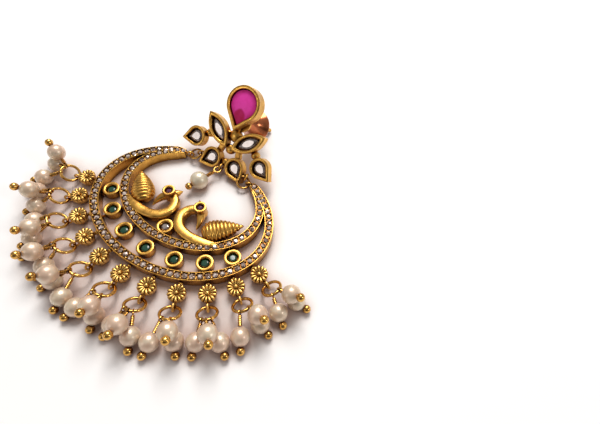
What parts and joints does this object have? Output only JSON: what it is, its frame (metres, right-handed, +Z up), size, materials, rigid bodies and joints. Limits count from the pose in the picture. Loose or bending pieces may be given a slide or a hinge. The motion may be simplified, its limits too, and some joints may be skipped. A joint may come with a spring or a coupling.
{
  "type": "chandbali earring",
  "caption": "Chandbali earring lying on a surface: stone-set stud fan on a post with a bell nut, jewelled crescent with a pair of peacocks, and a fringe of pearl clusters.",
  "frame": {"origin": "back of the crescent's outer ring at its bottom centre, on the surface that the earring lies on", "axes": "+X across the crescent, +Y from the pearl fringe towards the stud, +Z up off the surface"},
  "size_m": [0.0684, 0.0608, 0.0166],
  "materials": {
    "gold": "antique matte gold plate with darker recesses",
    "bright_gold": "polished gold plate",
    "pearl": "pearl coat on glass beads, gold-plated wire",
    "ruby": "faceted magenta-red glass",
    "emerald": "faceted dark green glass",
    "crystal": "faceted clear glass",
    "garnet": "faceted dark purple glass"
  },
  "bodies": {
    "earring": {"crescent": "gold", "emerald_1": "emerald", "emerald_2": "emerald", "emerald_3": "emerald", "emerald_4": "emerald", "emerald_5": "emerald", "emerald_6": "emerald", "emerald_7": "emerald", "crescent_crystal": "crystal", "peacock_eye_left": "garnet", "peacock_eye_right": "garnet", "stud_setting": "gold", "marquise_left_stone": "crystal", "marquise_right_stone": "crystal", "inner_drop_left_stone": "crystal", "inner_drop_right_stone": "crystal", "outer_drop_left_stone": "crystal", "outer_drop_right_stone": "crystal", "ruby_stone": "ruby", "link_ring_left": "bright_gold", "link_ring_right": "bright_gold", "centre_pearl_drop": "pearl", "pearl_fringe_1": "pearl", "pearl_fringe_2": "pearl", "pearl_fringe_3": "pearl", "pearl_fringe_4": "pearl", "pearl_fringe_5": "pearl", "pearl_fringe_6": "pearl", "pearl_fringe_7": "pearl", "pearl_fringe_8": "pearl", "pearl_fringe_9": "pearl", "pearl_fringe_10": "pearl", "pearl_fringe_11": "pearl"},
    "nut": {"ear_nut": "bright_gold"}
  },
  "joints": [
    {"name": "nut_slide", "type": "slide", "parent": "earring", "child": "nut", "axis": [0.1639, 0.707, -0.6879], "range_m": [0, 0.007]}
  ]
}
